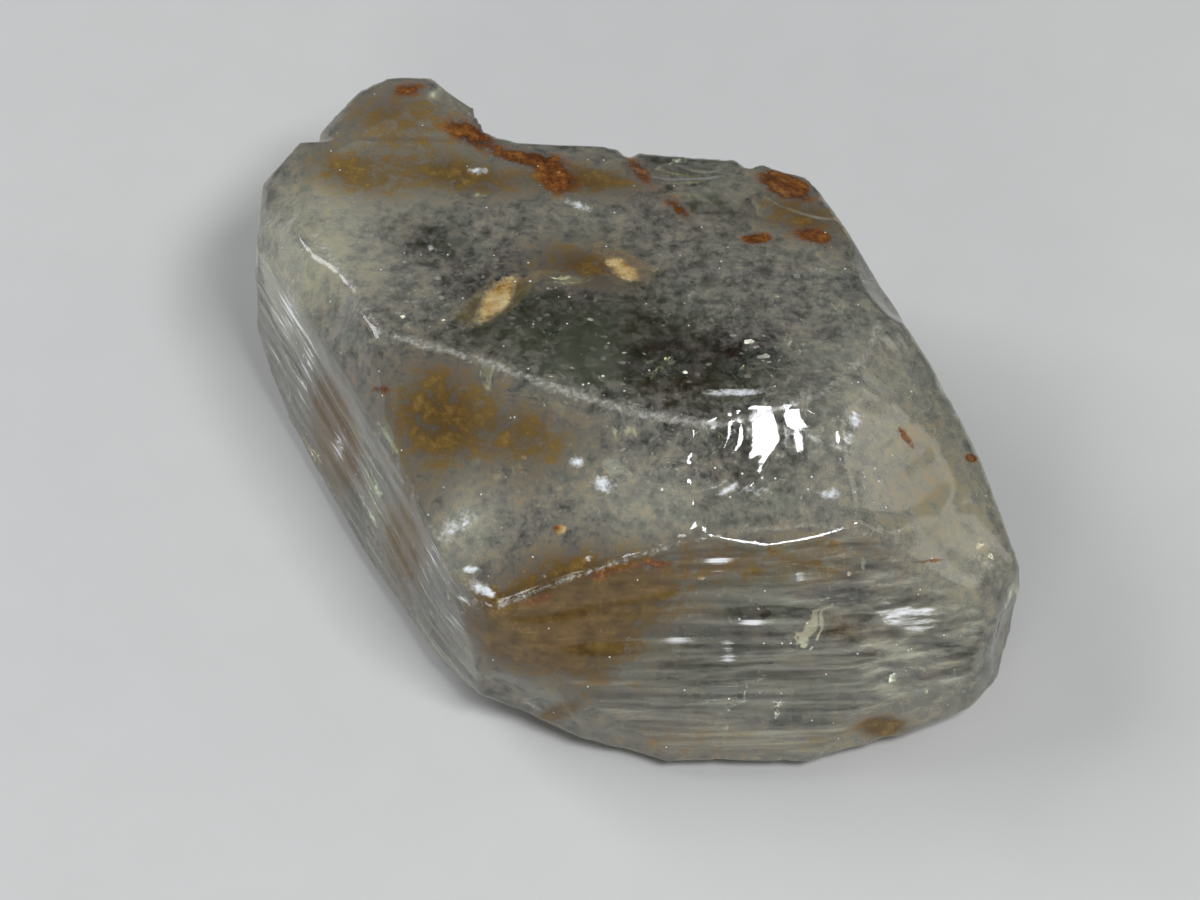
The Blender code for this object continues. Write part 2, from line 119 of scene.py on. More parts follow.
# Camera, at the angle of the photograph

cameraLook = {
    "elevation": 50.0,                   # degrees above the ground
    "distance": 180.0,                   # mm
    "lens": 135.0,
    "sensor": 36.0,
    "seesFrom": 10.0,                    # mm
    "seesTo": 10000.0,
    "target": (-1.07, 2.05, 0.0),        # mm, what the middle of the picture looks at
    "pictureWidth": 1200,
    "pictureHeight": 900,
}


def cameraStand():
    # where the camera stands, and the way back to it from what it looks at
    tilt = math.radians(cameraLook["elevation"])
    back = Vector((0.0, -math.cos(tilt), math.sin(tilt)))
    return (Vector(cameraLook["target"]) + back * cameraLook["distance"]) * mm, back


def makeCamera():
    look = cameraLook
    data = bpy.data.cameras.new("camera")
    data.lens = look["lens"]
    data.sensor_width = look["sensor"]
    data.clip_start = look["seesFrom"] * mm
    data.clip_end = look["seesTo"] * mm
    camera = bpy.data.objects.new("camera", data)
    camera.location, back = cameraStand()
    camera.rotation_mode = "QUATERNION"
    camera.rotation_quaternion = (-back).to_track_quat("-Z", "Y")
    bpy.context.scene.collection.objects.link(camera)
    bpy.context.scene.camera = camera


def sightLine(across, down):
    # the line of sight through a pixel of the 1200 x 900 picture: where it starts and which way it runs
    look = cameraLook
    tilt = math.radians(look["elevation"])
    up = Vector((0.0, math.sin(tilt), math.cos(tilt)))
    right = Vector((1.0, 0.0, 0.0))
    start, back = cameraStand()
    focal = look["lens"] / look["sensor"] * look["pictureWidth"]
    way = -back * focal + right * (across - look["pictureWidth"] / 2)
    way += up * (look["pictureHeight"] / 2 - down)
    return start, way.normalized()


def pictureFrame():
    # right, up and towards the camera, as the columns of a matrix
    back = -sightLine(cameraLook["pictureWidth"] / 2, cameraLook["pictureHeight"] / 2)[1]
    right = Vector((1, 0, 0))
    return Matrix((right, back.cross(right), back)).transposed()


makeCamera()


# Floor and studio light

studioLook = {
    "floorColours": ("c9c8c4", "c4c3bf"),
    "floorGrain": 900.0,                 # features per m
    "floorSize": 3.0,                    # m
    "floorRoughness": 0.7,
    "worldColour": "8d9296",
    "worldStrength": 0.36,
    "aim": (0, 0, 5),                    # mm, where the lamps point
    "lamps": [                           # place and size in mm
        {"name": "overhead", "at": (95, -135, 260), "size": (120, 70), "watts": 0.66, "colour": "f6f9ff"},
        {"name": "window", "at": (-260, 120, 230), "size": (220, 180), "watts": 0.75, "colour": "f4f8ff"},
        {"name": "bounce", "at": (300, 60, 160), "size": (160, 120), "watts": 0.08, "colour": "fff8ee"},
        {"name": "front", "at": (-120, -330, 150), "size": (120, 90), "watts": 0.25, "colour": "ffffff"},
    ],
}


def makeStudio():
    # paper rolled smooth and laid flat: a pale even ground without a shine
    material, tree, shader, _ = newMaterial("matte paper sweep, pale")
    grain = addNode(tree, "ShaderNodeTexNoise", {"Scale": studioLook["floorGrain"], "Detail": 3.0})
    tones = [hexColour(text) for text in studioLook["floorColours"]]
    tone = addNode(tree, "ShaderNodeMix", {"data_type": "RGBA", 6: tones[0], 7: tones[1]}, {0: grain})
    tree.links.new(tone.outputs[2], shader.inputs["Base Color"])
    shader.inputs["Roughness"].default_value = studioLook["floorRoughness"]
    shape = bmesh.new()
    bmesh.ops.create_grid(shape, x_segments=1, y_segments=1, size=studioLook["floorSize"] / 2)
    mesh = bpy.data.meshes.new("floor")
    shape.to_mesh(mesh)
    shape.free()
    floor = bpy.data.objects.new("floor", mesh)
    floor.data.materials.append(material)
    bpy.context.scene.collection.objects.link(floor)

    world = bpy.data.worlds.new("studio")
    bpy.context.scene.world = world
    world.use_nodes = True
    sky = world.node_tree.nodes["Background"]
    sky.inputs["Color"].default_value = hexColour(studioLook["worldColour"])
    sky.inputs["Strength"].default_value = studioLook["worldStrength"]
    aim = Vector([side * mm for side in studioLook["aim"]])
    for lamp in studioLook["lamps"]:
        data = bpy.data.lights.new(lamp["name"], "AREA")
        data.shape = "RECTANGLE"
        data.size, data.size_y = (side * mm for side in lamp["size"])
        data.energy = lamp["watts"]
        data.color = hexColour(lamp["colour"])[:3]
        light = bpy.data.objects.new(lamp["name"], data)
        light.location = Vector(lamp["at"]) * mm
        light.rotation_mode = "QUATERNION"
        light.rotation_quaternion = (aim - light.location).to_track_quat("-Z", "Y")
        bpy.context.scene.collection.objects.link(light)


makeStudio()
print("camera and studio made")


# The stone itself: the solid of the frame, laid over with a fine even mesh that takes the fine relief

stoneLook = {
    "joinWithin": 0.0005,                # mm
    "meshSize": 0.175,                   # mm, side of the fine mesh's faces
    "evenedOver": 4,                     # of these, to tell which of the stone's faces a spot is on
    "refraction": 1.58,                  # colourless beryl
    # grown faces are never quite flat, nor edges quite straight: wavelength, then height or sway, in mm
    "waviness": ((2.6, 0.030), (0.9, 0.010)),
    "wobble": ((4.0, 0.08), (1.3, 0.03), (0.7, 0.008)),
    "wearWidth": 2,                      # how many faces the bruising of an edge spreads
    "wearProud": (0.02, 0.16),           # how proud an edge is where bruises start, and over what span
    "wearPatch": 1.7,                    # mm, how long a bruised stretch is
    "wearAmount": (0.6, 0.1, 0.8),       # on average, least and most
    "wearHeight": 0.03,                  # mm, roughness of the bruised edges
    "wearSink": 0.6,                     # how far they lie below the face, in heights
    "gritSize": 0.5,                     # mm
    "sunk": 0.5,                         # share of the highest relief by which all of it sinks into the stone
    "frontFace": (0.08, -0.93, 0.36),    # the way out of the striated prism face in front
    "leftFace": (-0.85, -0.52, 0.05),    # and of the left one
    "onFace": (0.93, 0.05),              # cosine at which a spot is on a prism face, and over what span
    "striaeHeight": 0.028,               # mm
    "striaePitch": 0.75,                 # mm
    "striaeLength": 14.0,                # mm
    "fineStriae": (0.018, 0.4),          # height and pitch of those between them, mm
    "fineRings": (0.026, 0.4, 0.5),      # height, pitch and bend of the rings between the broad ones, mm
    "ringWobble": (1.6, 0.35),           # mm, how long a bend of a ring is, and how far it goes in pitches
    "inScar": (0.8, 0.1),                # as onFace, for the rings
    "ripples": [                         # rings of the conchoidal breaks: struck point, the way they face, mm
        {"at": (2.0, -6.6, 12.0), "facing": (0.15, -0.55, 0.82), "reach": 6.5, "pitch": 0.95, "height": 0.03},
        {"at": (5.4, -11.4, 10.2), "facing": (0.15, -0.55, 0.82), "reach": 4.2, "pitch": 0.8, "height": 0.02},
        {"at": (8.4, -4.0, 11.4), "facing": (0.45, -0.45, 0.77), "reach": 5.5, "pitch": 0.8, "height": 0.02},
        {"at": (3.0, 9.4, 9.9), "facing": (0.0, 0.5, 0.86), "reach": 3.6, "pitch": 0.6, "height": 0.015},
    ],
}


def mergedStone():
    # a copy of the frame's solid with its loose triangles joined
    shape = bmesh.new()
    shape.from_mesh(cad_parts["goshenite_crystal"].data)
    bmesh.ops.remove_doubles(shape, verts=shape.verts, dist=stoneLook["joinWithin"] * mm)
    return shape


plainStone = mergedStone()
stoneTree = BVHTree.FromBMesh(plainStone)


def refracted(way, normal, ratio):
    # the way that light takes once it is through a face
    cosIn = -way.dot(normal)
    rest = 1 - ratio * ratio * (1 - cosIn * cosIn)
    return (way * ratio + normal * (ratio * cosIn - math.sqrt(max(rest, 0.0)))).normalized()


def seenAt(across, down, depth):
    # the point that is seen through that pixel of the photograph, depth mm into the stone from its face
    start, way = sightLine(across, down)
    spot, normal, _, _ = stoneTree.ray_cast(start, way)
    return spot + refracted(way, normal, 1 / stoneLook["refraction"]) * depth * mm


def insideBy(point):
    # how far inside the stone a point lies, in metres
    spot, normal, _, _ = stoneTree.find_nearest(point)
    return (spot - point).dot(normal)


def fineStone():
    # the solid's form as an even mesh of small faces
    mesh = bpy.data.meshes.new("stone")
    plainStone.to_mesh(mesh)
    blank = bpy.data.objects.new("blank", mesh)
    bpy.context.scene.collection.objects.link(blank)
    remesh = blank.modifiers.new("even mesh", "REMESH")
    remesh.mode = "VOXEL"
    remesh.voxel_size = stoneLook["meshSize"] * mm
    graph = bpy.context.evaluated_depsgraph_get()
    fine = bpy.data.meshes.new_from_object(blank.evaluated_get(graph))
    bpy.data.objects.remove(blank)
    return fine


def read(items, what):
    # one vector of each item of a mesh, as rows
    values = np.empty(len(items) * 3)
    items.foreach_get(what, values)
    return values.reshape(-1, 3)


def spread(values, edges, rounds):
    # averages a value with its neighbours over the mesh, that many rounds
    count = np.bincount(edges.ravel(), minlength=len(values)) + 1
    for _ in range(rounds):
        total = values.copy()
        for axis in range(values.shape[1]):
            total[:, axis] += np.bincount(edges[:, 0], values[edges[:, 1], axis], len(values))
            total[:, axis] += np.bincount(edges[:, 1], values[edges[:, 0], axis], len(values))
        values = total / count[:, None]
    return values


def noiseField(points, size, seed):
    # smooth noise from -1 to 1 at points in mm, with features of that size
    return np.array([noise.noise(Vector(point) / size + Vector((seed, 0, 0))) for point in points])


def meshEdges(mesh):
    edges = np.empty(len(mesh.edges) * 2, int)
    mesh.edges.foreach_get("vertices", edges)
    return edges.reshape(-1, 2)


def sculptStone(mesh):
    # carves the fine relief; gives the points in mm, the way out at each, and where the skin is worn or lined
    look = stoneLook
    edges = meshEdges(mesh)
    spots = spread(read(mesh.vertices, "co"), edges, 1)
    mesh.vertices.foreach_set("co", spots.ravel())
    mesh.update()
    out = read(mesh.vertex_normals, "vector")
    flow = spread(out, edges, look["evenedOver"])
    flow /= np.linalg.norm(flow, axis=1)[:, None]
    points = spots / mm
    for size, sway in look["wobble"]:
        for axis in range(3):
            spots[:, axis] += sway * mm * noiseField(points, size, seed=60.0 + 9 * axis)

    # bruised edges: where the fine mesh stands proud of its neighbourhood
    proud = ((spots - spread(spots, edges, look["wearWidth"])) * out).sum(1) / (look["meshSize"] * mm)
    proud = spread(proud[:, None], edges, 1)[:, 0]
    proudFrom, proudSpan = look["wearProud"]
    wear = np.clip((proud - proudFrom) / proudSpan, 0, 1)
    middle, least, most = look["wearAmount"]
    wear *= np.clip(middle + noiseField(points, look["wearPatch"], seed=77.0), least, most)
    wear = np.maximum(wear, frostedLines(points))

    height = np.zeros(len(points))
    for size, amount in look["waviness"]:
        height += amount * noiseField(points, size, seed=3.0)
    grit = noiseField(points, look["gritSize"], seed=9.0)
    height += wear * look["wearHeight"] * (grit - look["wearSink"])

    # striae run the length of the prism faces: noise drawn out along them
    masks = {}
    low, span = look["onFace"]
    fineHeight, finePitch = look["fineStriae"]
    for name, face in (("striaeFront", look["frontFace"]), ("striaeLeft", look["leftFace"])):
        face = Vector(face).normalized()
        along = Vector((0, 0, 1)).cross(face).normalized()
        across = face.cross(along)
        masks[name] = np.clip((flow @ np.array(face) - low) / span, 0, 1) * (1 - wear)
        drawn = np.zeros((len(points), 3))
        drawn[:, 0] = points @ np.array(along) / look["striaeLength"]
        drawn[:, 1] = points @ np.array(across) / look["striaePitch"]
        height += masks[name] * look["striaeHeight"] * noiseField(drawn, 1.0, seed=21.0)
        drawn[:, 1] *= look["striaePitch"] / finePitch
        height += masks[name] * fineHeight * noiseField(drawn, 1.0, seed=27.0)

    # the rings of the breaks, about the point that was struck: broad ones, and finer ones between
    ringAway = np.zeros(len(points))
    ringHigh = np.zeros(len(points))
    low, span = look["inScar"]
    fineHeight, finePitch, fineBend = look["fineRings"]
    bend, sway = look["ringWobble"]
    wobble = sway * noiseField(points, bend, seed=5.0)
    for ring in look["ripples"]:
        away = np.linalg.norm(points - np.array(ring["at"]), axis=1)
        fade = np.clip(1 - away / ring["reach"], 0, 1)
        fade *= np.clip((flow @ np.array(ring["facing"]) - low) / span, 0, 1)
        height += ring["height"] * fade * np.sin(2 * math.pi * (away / ring["pitch"] + wobble))
        rippled = np.zeros((len(points), 3))
        rippled[:, 0] = away + fineBend * wobble
        height += fineHeight * fade * noiseField(rippled, finePitch, seed=47.0)
        ringAway = np.where(fade > ringHigh, rippled[:, 0], ringAway)
        ringHigh = np.maximum(fade, ringHigh)
    masks["ringAway"] = ringAway
    masks["ringHigh"] = ringHigh

    height -= height.max() * look["sunk"]
    mesh.vertices.foreach_set("co", (spots + out * (height * mm)[:, None]).ravel())
    mesh.update()
    return points, flow, wear, masks


# Edges and creases that are rubbed white

frostLook = {
    "step": 3.0,                         # pixels between the points a line is laid through
    "unevenness": (1.2, 0.8, 0.4, 1.8),  # mm between changes of width; their sway, least and most
    "lines": [                           # pixels along each, width in mm, amount
        ([(380, 332), (430, 346), (490, 362), (550, 385), (610, 405), (675, 420), (722, 424)], 0.2, 1.0),
        ([(722, 424), (770, 412), (820, 395), (865, 355), (880, 320)], 0.16, 0.9),
        ([(500, 605), (560, 583), (620, 562), (675, 545)], 0.15, 0.85),
        ([(675, 545), (740, 533), (810, 525), (870, 535)], 0.13, 0.7),
        ([(315, 235), (345, 275), (365, 305), (380, 330)], 0.15, 1.0),
        ([(262, 240), (293, 300), (330, 370), (375, 440), (420, 510), (470, 600)], 0.18, 0.5),
        ([(850, 600), (920, 585), (995, 570)], 0.1, 0.4),
        ([(560, 714), (700, 720), (860, 714), (950, 692)], 0.08, 0.4),
    ],
}


def frostedLines(points):
    # how white each point is rubbed, by how near it lies to one of the lines
    frost = np.zeros(len(points))
    size, sway, least, most = frostLook["unevenness"]
    uneven = np.clip(1 + sway * noiseField(points, size, seed=83.0), least, most)
    for pixels, width, amount in frostLook["lines"]:
        laid = []
        for start, end in zip(pixels, pixels[1:]):
            count = max(2, int(math.dist(start, end) / frostLook["step"]))
            for step in range(count):
                across, down = (first + (last - first) * (step / count) for first, last in zip(start, end))
                laid.append(seenAt(across, down, 0) / mm)
        tree = KDTree(len(laid))
        for number, spot in enumerate(laid):
            tree.insert(spot, number)
        tree.balance()
        away = np.array([tree.find(point)[2] for point in points])
        frost = np.maximum(frost, amount * np.exp(-(away / (width * uneven)) ** 2))
    return frost


def turnedBy(turn, tilt):
    # turned in the plane of the picture, then tilted out of it, in degrees
    return (pictureFrame() @ Matrix.Rotation(math.radians(-turn), 3, "Z")
            @ Matrix.Rotation(math.radians(tilt[0]), 3, "X") @ Matrix.Rotation(math.radians(tilt[1]), 3, "Y"))


# What is painted on the stone's skin, by the place where the photograph shows it

skinPaint = {                            # each patch: pixel, half sizes in mm, turn in degrees, amount
    "haze": {"everywhere": 0.42, "hidden": 0.25, "patches": [
        ((600, 335), (4.4, 1.9), 18, -0.7),     # the clear window
        ((705, 368), (2.6, 1.1), 12, -0.4),
        ((432, 243), (1.6, 0.9), 10, -0.3),
        ((690, 170), (2.6, 1.0), 5, -0.2),
        ((725, 205), (2.2, 0.8), 5, -0.15),
        ((300, 210), (2.4, 2.6), 0, 0.42),
        ((360, 270), (2.4, 1.6), 20, 0.35),
        ((300, 290), (1.0, 2.6), 35, 0.3),
        ((450, 540), (1.1, 3.4), 22, 0.25),
        ((480, 430), (3.2, 2.0), 10, -0.08),
        ((640, 500), (3.2, 1.3), 15, 0.25),
        ((890, 460), (3.2, 3.8), 30, 0.42),
        ((960, 540), (2.0, 3.2), 10, 0.4),
        ((760, 450), (2.4, 1.2), 10, -0.16),
        ((690, 640), (4.4, 1.6), 3, -0.25),
        ((900, 680), (3.4, 1.6), 10, 0.26),
        ((690, 742), (6.4, 1.0), 0, 0.2),
        ((860, 738), (4.4, 1.0), -10, 0.2),
        ((330, 430), (1.3, 4.2), 30, -0.45),
        ((415, 570), (1.3, 3.4), 28, -0.4),
        ((497, 298), (1.0, 2.0), 36, -0.35),
        ((622, 268), (1.4, 0.9), 35, -0.3),
        ((470, 520), (1.4, 1.0), 0, 0.2),
        ((390, 120), (3.0, 1.6), 0, 0.15),
        ((880, 360), (1.4, 2.0), 30, 0.22),
    ]},
    "amber": {"everywhere": 0.0, "hidden": -0.6, "patches": [
        ((497, 299), (0.6, 1.6), 36, 0.9),
        ((622, 268), (1.1, 0.5), 36, 0.8),
        ((750, 238), (0.8, 0.25), 5, 0.6),
        ((560, 529), (0.3, 0.25), 0, 0.9),
    ]},
    # painted glints: bright white patches painted on the skin as highlights, where crack walls would throw a
    # lamp's light back
    "silver": {"everywhere": -0.6, "hidden": -0.3, "patches": [
        ((576, 462), (0.47, 0.34), 0, 1.5),
        ((603, 484), (0.61, 0.38), 20, 1.6),
        ((470, 520), (1.22, 0.61), -30, 0.9),
        ((480, 170), (0.68, 0.24), 0, 1.4),
        ((578, 205), (0.94, 0.24), 20, 1.4),
        ((430, 247), (0.22, 0.19), 0, 1.6),
        ((690, 295), (0.68, 0.47), 0, 0.9),
        ((625, 372), (0.41, 0.16), 0, 1.1),
        ((735, 392), (1.62, 0.16), 0, 1.4),
        ((755, 197), (2.16, 0.61), 5, 0.7),
        ((820, 268), (0.68, 0.54), 0, 0.8),
        ((855, 420), (0.34, 1.08), 20, 1.1),
        ((775, 435), (3.10, 1.22), 10, 0.95),
        ((740, 490), (1.76, 0.41), 0, 1.1),
        ((830, 495), (0.61, 0.30), 0, 1.3),
        ((287, 312), (0.9, 3.0), 28, 1.1),
        ((306, 372), (0.6, 2.8), 30, 1.2),
        ((340, 445), (0.5, 2.6), 30, 1.1),
        ((430, 565), (0.6, 2.6), 28, 1.1),
        ((458, 612), (0.6, 2.2), 28, 1.2),
        ((486, 590), (0.49, 0.18), 30, 1.8),
        ((470, 568), (0.41, 0.12), 0, 1.6),
        ((720, 565), (0.61, 0.41), 0, 1.2),
        ((910, 618), (2.16, 0.74), 20, 0.95),
        ((676, 636), (0.61, 0.35), 0, 1.2),
        ((727, 650), (0.34, 0.54), 0, 1.1),
        ((752, 622), (0.54, 0.12), 0, 1.5),
        ((800, 576), (0.16, 0.81), 0, 0.9),
        ((590, 558), (0.22, 0.16), 0, 1.4),
        ((535, 708), (0.81, 0.27), 35, 1.0),
    ]},
    "specks": {"everywhere": 0.16, "hidden": 0.1, "patches": [
        ((640, 375), (3.4, 1.0), 15, 0.3),
        ((520, 290), (3.0, 1.6), 10, 0.15),
        ((700, 480), (3.0, 2.0), 10, 0.2),
        ((700, 640), (4.0, 1.2), 0, 0.15),
        ((900, 420), (2.4, 2.4), 0, 0.15),
    ]},
    # painted shade: dark streaks painted in where clear stone is seen into
    "wisps": {"everywhere": -1.0, "hidden": 0.2, "patches": [
        ((690, 640), (3.6, 1.0), 0, 0.75),
        ((700, 686), (4.6, 0.6), -3, 1.1),
        ((650, 715), (2.4, 0.35), 0, 1.0),
        ((900, 657), (1.3, 0.45), 10, 1.0),
        ((620, 560), (1.8, 0.5), -10, 0.7),
        ((720, 590), (3.4, 0.7), 0, 0.8),
        ((700, 168), (2.2, 0.8), 0, 0.75),
        ((300, 350), (0.9, 3.2), 26, 0.9),
        ((350, 460), (1.3, 4.0), 30, 1.1),
        ((415, 560), (0.9, 3.2), 28, 1.0),
    ]},
    "ochre": {"everywhere": 0.12, "hidden": 0.2, "patches": [
        ((400, 118), (3.0, 1.7), 10, 0.45),
        ((350, 175), (2.6, 1.1), 20, 0.45),
        ((460, 175), (2.8, 1.0), 10, 0.5),
        ((590, 180), (2.4, 0.9), 5, 0.55),
        ((580, 265), (2.4, 1.2), 10, 0.5),
        ((800, 215), (2.2, 1.2), 20, 0.5),
        ((430, 410), (2.2, 2.4), 10, 0.5),
        ((530, 440), (2.6, 1.8), 20, 0.42),
        ((335, 430), (1.5, 4.2), 30, 1.1),
        ((405, 545), (1.3, 3.4), 30, 0.8),
        ((610, 590), (3.2, 1.5), 8, 0.7),
        ((560, 645), (3.0, 1.8), 10, 0.7),
        ((500, 625), (1.4, 1.2), 0, 0.55),
        ((720, 560), (2.4, 0.9), 5, 0.35),
        ((820, 560), (2.2, 1.1), 5, 0.35),
        ((700, 742), (6.4, 0.8), 0, 0.22),
        ((930, 480), (2.4, 3.0), 20, 0.2),
        ((882, 727), (0.9, 0.4), 0, 0.9),
        ((560, 712), (0.9, 0.3), -25, 0.7),
    ]},
    "rust": {"everywhere": 0.0, "hidden": 0.12, "patches": [
        ((786, 186), (1.5, 0.8), 25, 1.0),
        ((815, 236), (1.1, 0.45), 15, 0.9),
        ((757, 238), (0.9, 0.35), 0, 0.9),
        ((560, 182), (1.1, 0.8), 10, 0.9),
        ((530, 158), (1.6, 0.5), 5, 0.75),
        ((468, 132), (1.6, 0.7), 25, 0.9),
        ((408, 90), (1.3, 0.5), -10, 0.7),
        ((640, 170), (1.0, 0.5), 50, 0.8),
        ((680, 208), (1.1, 0.45), 45, 0.75),
        ((555, 420), (0.6, 0.6), 0, 0.6),
        ((905, 437), (0.7, 0.14), 50, 1.0),
        ((972, 458), (0.35, 0.2), 0, 1.0),
        ((380, 391), (0.7, 0.25), 0, 0.8),
        ((556, 528), (0.35, 0.3), 0, 0.7),
        ((600, 575), (1.4, 0.35), -12, 0.7),
        ((660, 565), (0.9, 0.3), 0, 0.7),
        ((540, 600), (1.0, 0.3), -15, 0.7),
        ((930, 562), (1.4, 0.1), -3, 0.8),
    ]},
}

skinDepth = 3.0                          # mm, how far a patch follows the stone away from the eye
hiddenCloud = 4.0, 0.9                   # mm, width of the clouds on the unseen side, and their strength
unseenFrom = 2.0, 0.3                    # how fast they come in past the outline, and their share there
paintLimits = -1.0, 1.2


def paintSkin(points, out):
    # each patch lies on the face it is seen on, and fades out at its rim
    right, up, back = pictureFrame().transposed()
    hidden = np.clip(-(out @ np.array(back)) * unseenFrom[0] + unseenFrom[1], 0, 1)
    painted = {}
    for number, (name, paint) in enumerate(skinPaint.items()):
        amount = np.full(len(points), paint["everywhere"])
        for pixel, (width, height), turn, strength in paint["patches"]:
            turn = math.radians(turn)
            wide = np.array(right * math.cos(turn) - up * math.sin(turn))
            tall = np.array(right * math.sin(turn) + up * math.cos(turn))
            away = points - np.array(seenAt(*pixel, 0) / mm)
            reach = (away @ wide / width) ** 2 + (away @ tall / height) ** 2
            reach += (away @ np.array(back) / skinDepth) ** 2
            amount += strength * np.exp(-reach)
        # on the side that the photograph doesn't show, the same go on in broad clouds
        cloud = hiddenCloud[1] * noiseField(points, hiddenCloud[0], seed=31.0 + 10 * number)
        painted[name] = np.clip(amount + hidden * (paint["hidden"] + cloud), *paintLimits)
    return painted


# Cracks that hold air: thin curved hollows inside the stone, silvery where light meets them aslant

crackLook = {
    "gap": 0.05,                         # mm, at the middle
    "skin": 0.12,                        # mm of stone that stays between a crack and the air outside
    "ragged": (1.6, 0.35),               # how many bays a rim has, and how deep they are
    "smallest": 1.0,                     # mm, half width below which a crack gets the coarser mesh
    "waves": ((0.12, 0.9, 0.9, 7), (0.03, 1.5, 4.5, 3)),     # height in mm, how many per mm both ways, seed
    "shrink": (8, 0.85),                 # tries to get a crack inside the stone, and its size after each
    "bendAcross": 0.6,                   # share of the bend that runs the short way
    "seeds": (3.7, 200),                 # from one crack to the next, and the first hidden one's
    "dice": 4,
    "cracks": [                          # pixel, depth and size in mm, turn and tilts in degrees, bend in mm
        ((700, 640), 2.0, (2.0, 0.7), 0, (-40, 10), 0.6),
        ((560, 275), 3.0, (1.6, 1.0), 40, (25, 35), 0.4),
        ((850, 560), 2.6, (1.8, 0.9), 20, (-30, 25), 0.6),
        ((520, 420), 3.2, (1.8, 1.2), -20, (-25, 30), 0.6),
        ((650, 470), 3.4, (1.6, 1.2), 20, (40, 10), 0.5),
        ((410, 560), 1.2, (0.5, 2.4), 28, (10, 30), 0.4),
        ((905, 655), 0.8, (1.1, 0.3), 15, (50, 0), 0.2),
    ],
    "hidden": 16,                        # more of them, strewn where the photograph doesn't look
    "hiddenFrom": 0.1,                   # cosine between skin and line of sight from which that is so
    "hiddenDepth": (0.8, 2.4),           # mm
    "hiddenSizes": ((1.0, 2.4), (0.5, 1.4)),
    "hiddenBend": (0.2, 0.6),
}


def raggedRim(x, y, seed):
    # how far out a rim lies in the direction of x and y, about 1
    bays, depth = crackLook["ragged"]
    around = math.atan2(y, x)
    return 1 + depth * noise.noise(Vector((math.cos(around) * bays, math.sin(around) * bays, seed)))


def addCrack(shape, middle, size, turn, bend, seed):
    # a ball pressed flat, ragged and bent; true if it lies inside the stone and stays
    fineness = 4 if size[0] > crackLook["smallest"] else 3
    made = bmesh.ops.create_icosphere(shape, subdivisions=fineness, radius=1.0)["verts"]
    for vert in made:
        x, y, z = vert.co
        ragged = raggedRim(x, y, seed)
        x, y = x * size[0] * ragged, y * size[1] * ragged
        lift = bend * (1 - (x / size[0]) ** 2 - crackLook["bendAcross"] * (y / size[1]) ** 2)
        for high, across, down, shift in crackLook["waves"]:
            lift += high * noise.noise(Vector((x * across, y * down, seed + shift)))
        vert.co = Vector((x, y, lift + z * crackLook["gap"] / 2)) * mm
    bmesh.ops.transform(shape, matrix=Matrix.Translation(middle) @ turn.to_4x4(), verts=made)
    # one that would break out of the stone is drawn in towards its middle until it is all inside
    tries, smaller = crackLook["shrink"]
    for _ in range(tries):
        if min(insideBy(vert.co) for vert in made) > crackLook["skin"] * mm:
            return True
        bmesh.ops.scale(shape, vec=(smaller,) * 3, space=Matrix.Translation(-middle), verts=made)
    bmesh.ops.delete(shape, geom=made, context="VERTS")
    return False


def facesEye(point):
    # whether the skin nearest to a point is on the side that the photograph shows
    return stoneTree.find_nearest(point)[1].dot(-pictureFrame().col[2]) < crackLook["hiddenFrom"]


def makeCracks():
    # all of them in one mesh, with their faces turned towards the air inside
    dice = random.Random(crackLook["dice"])
    shape = bmesh.new()
    step, firstHidden = crackLook["seeds"]
    kept = 0
    for number, (pixel, depth, size, turn, tilt, bend) in enumerate(crackLook["cracks"]):
        kept += addCrack(shape, seenAt(*pixel, depth), size, turnedBy(turn, tilt), bend, number * step)
    low, high = cadBox
    nearest, deepest = crackLook["hiddenDepth"]
    for number in range(crackLook["hidden"]):
        middle = Vector([dice.uniform(low[axis], high[axis]) for axis in range(3)])
        while not nearest * mm < insideBy(middle) < deepest * mm or facesEye(middle):
            middle = Vector([dice.uniform(low[axis], high[axis]) for axis in range(3)])
        turn = Matrix.Rotation(dice.uniform(0, math.tau), 3, Vector([dice.uniform(-1, 1) for _ in range(3)]))
        size = [dice.uniform(*limits) for limits in crackLook["hiddenSizes"]]
        bend = dice.uniform(*crackLook["hiddenBend"])
        kept += addCrack(shape, middle, size, turn, bend, firstHidden + number * step)
    bmesh.ops.reverse_faces(shape, faces=shape.faces)
    print("air cracks", kept)
    return shape


# The stone's finish: glassy where it broke or grew clean, and these laid over each other on its skin

